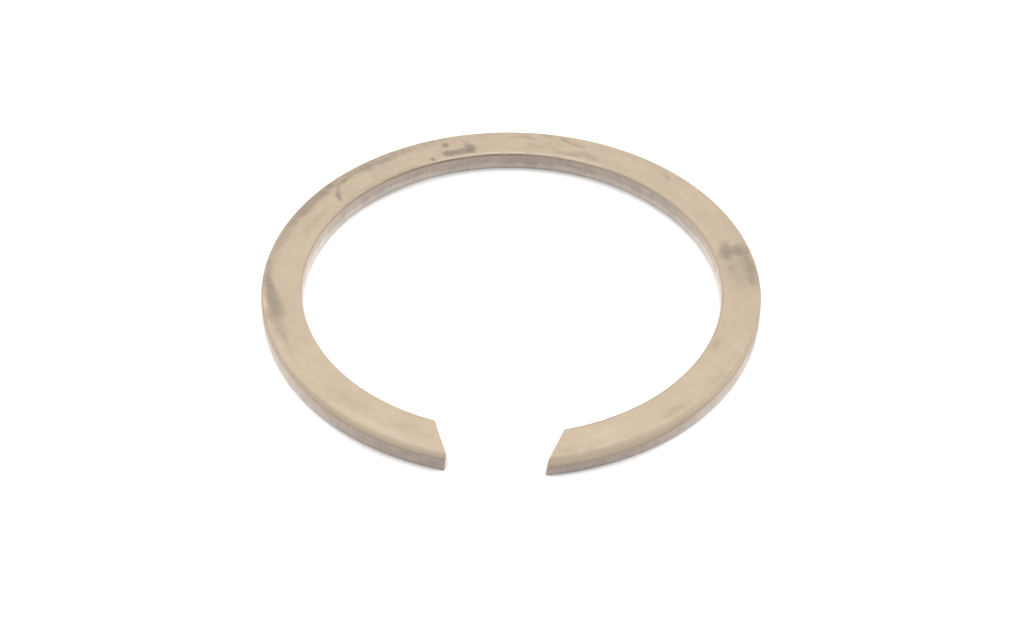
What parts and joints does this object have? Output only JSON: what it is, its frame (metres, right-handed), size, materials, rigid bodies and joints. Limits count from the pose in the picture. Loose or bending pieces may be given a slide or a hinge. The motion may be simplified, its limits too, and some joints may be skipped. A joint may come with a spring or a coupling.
{
  "type": "circlip retaining ring",
  "caption": "Split retaining ring of flat rectangular section that springs into a groove on a shaft, with its ends cut to a dovetail gap.",
  "frame": {"origin": "on the ring's axis, at the middle of its thickness", "axes": "+Z along the ring's axis, out of the face with the rolled edges, -Y through the middle of the gap, +X to the right of the gap"},
  "size_m": [0.084, 0.0833, 0.0036],
  "materials": {
    "spring_steel": "satin, blued to a pale straw colour, with grey stains and bright worn edges"
  },
  "bodies": {
    "root": {"retaining_ring": "spring_steel"}
  },
  "joints": []
}
